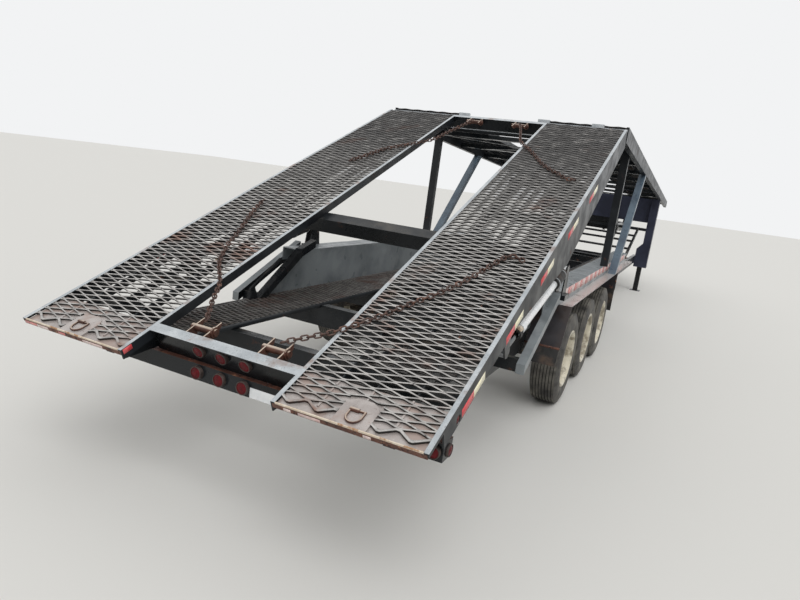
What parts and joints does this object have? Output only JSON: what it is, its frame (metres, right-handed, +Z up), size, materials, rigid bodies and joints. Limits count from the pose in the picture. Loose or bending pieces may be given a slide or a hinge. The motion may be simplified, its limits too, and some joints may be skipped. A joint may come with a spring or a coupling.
{
  "type": "car transporter semi-trailer",
  "caption": "Tri-axle gooseneck car-hauler semi-trailer with open lower deck, fixed front upper deck and a hinged rear deck lowered to the tail.",
  "frame": {"origin": "middle of the trailer's footprint, on the ground", "axes": "+Z up, +Y forward to the kingpin end, +X to the trailer's right side"},
  "size_m": [2.59, 15.07, 2.638],
  "materials": {
    "frame_black": "semi-gloss black chassis paint, wet and dusty",
    "rail_grey": "worn grey-black paint with pale edges",
    "mesh_steel": "raised expanded steel, dark with wet edges and rust",
    "tyre": "ribbed rubber with grey-brown dust",
    "rim": "cream-white wheel enamel, dusty",
    "rubber": "black rubber flap",
    "rust": "rusty bare steel",
    "barrel": "silver enamel cylinder",
    "rod": "hard chrome rod",
    "lamp_red": "red lamp lens",
    "plate": "blank white plate",
    "suspension": "black suspension steel with road dust"
  },
  "bodies": {
    "frame": {"main_rails": "frame_black", "lower_cross_members": "frame_black", "lower_runways": "mesh_steel", "front_ladder": "frame_black", "wheel_boxes": "frame_black", "fenders": "frame_black", "mud_flaps": "rubber", "tail_bumper": "frame_black", "step_rails": "frame_black", "box_guards": "frame_black", "cylinder_mounts": "frame_black", "axles": "suspension", "leaf_springs": "suspension", "spring_hangers": "suspension", "deck_posts": "frame_black", "deck_braces": "frame_black", "front_side_rails": "rail_grey", "front_stringers": "frame_black", "front_runways": "mesh_steel", "front_cross_beams": "frame_black", "deck_lacing": "frame_black", "peak_beam": "frame_black", "risers": "frame_black", "landing_legs": "frame_black", "neck_frame": "frame_black", "coupler_plate": "frame_black", "kingpin": "suspension", "bulkhead": "frame_black", "hydraulic_box": "frame_black", "frame_lamps": "lamp_red", "number_plate": "plate"},
    "rear_deck": {"rear_side_rails": "rail_grey", "rear_stringers": "frame_black", "rear_runway_left": "mesh_steel", "rear_runway_right": "mesh_steel", "tail_plates": "mesh_steel", "rear_cross_beams": "frame_black", "deck_channels": "frame_black", "chain_ratchets": "rust", "tie_chains": "rust", "deck_brackets": "frame_black", "rear_deck_lamps": "lamp_red"},
    "wheel_rear_left": {"tyre_rear_left": "tyre", "rim_rear_left": "rim"},
    "wheel_rear_right": {"tyre_rear_right": "tyre", "rim_rear_right": "rim"},
    "wheel_middle_left": {"tyre_middle_left": "tyre", "rim_middle_left": "rim"},
    "wheel_middle_right": {"tyre_middle_right": "tyre", "rim_middle_right": "rim"},
    "wheel_front_left": {"tyre_front_left": "tyre", "rim_front_left": "rim"},
    "wheel_front_right": {"tyre_front_right": "tyre", "rim_front_right": "rim"},
    "cylinder_left": {"lift_barrel_left": "barrel"},
    "rod_left": {"lift_rod_left": "rod"},
    "cylinder_right": {"lift_barrel_right": "barrel"},
    "rod_right": {"lift_rod_right": "rod"}
  },
  "joints": [
    {"name": "rear_deck_lift", "type": "hinge", "parent": "frame", "child": "rear_deck", "pos_m": [0, -3.205, 2.455], "axis": [-1, 0, 0], "range_deg": [0, 22.77]},
    {"name": "wheel_rear_left_spin", "type": "hinge", "parent": "frame", "child": "wheel_rear_left", "pos_m": [-1.139, -4.045, 0.433], "axis": [1, 0, 0], "continuous": true},
    {"name": "wheel_rear_right_spin", "type": "hinge", "parent": "frame", "child": "wheel_rear_right", "pos_m": [1.139, -4.045, 0.433], "axis": [1, 0, 0], "continuous": true},
    {"name": "wheel_middle_left_spin", "type": "hinge", "parent": "frame", "child": "wheel_middle_left", "pos_m": [-1.139, -2.992, 0.433], "axis": [1, 0, 0], "continuous": true},
    {"name": "wheel_middle_right_spin", "type": "hinge", "parent": "frame", "child": "wheel_middle_right", "pos_m": [1.139, -2.992, 0.433], "axis": [1, 0, 0], "continuous": true},
    {"name": "wheel_front_left_spin", "type": "hinge", "parent": "frame", "child": "wheel_front_left", "pos_m": [-1.139, -1.939, 0.433], "axis": [1, 0, 0], "continuous": true},
    {"name": "wheel_front_right_spin", "type": "hinge", "parent": "frame", "child": "wheel_front_right", "pos_m": [1.139, -1.939, 0.433], "axis": [1, 0, 0], "continuous": true},
    {"name": "cylinder_left_swing", "type": "hinge", "parent": "frame", "child": "cylinder_left", "pos_m": [-1.205, -4.755, 1.33], "axis": [-1, 0, 0], "range_deg": [0, 40.24]},
    {"name": "rod_left_slide", "type": "slide", "parent": "cylinder_left", "child": "rod_left", "axis": [0, -0.9734, -0.229], "range_m": [0, 0.52057]},
    {"name": "cylinder_right_swing", "type": "hinge", "parent": "frame", "child": "cylinder_right", "pos_m": [1.205, -4.755, 1.33], "axis": [-1, 0, 0], "range_deg": [0, 40.24]},
    {"name": "rod_right_slide", "type": "slide", "parent": "cylinder_right", "child": "rod_right", "axis": [0, -0.9734, -0.229], "range_m": [0, 0.52057]}
  ],
  "couplings": [
    {"joint": "cylinder_left_swing", "follows": "rear_deck_lift", "ratio": 1.7647},
    {"joint": "rod_left_slide", "follows": "rear_deck_lift", "m_per_rad": 1.3085},
    {"joint": "cylinder_right_swing", "follows": "rear_deck_lift", "ratio": 1.7647},
    {"joint": "rod_right_slide", "follows": "rear_deck_lift", "m_per_rad": 1.3085}
  ]
}
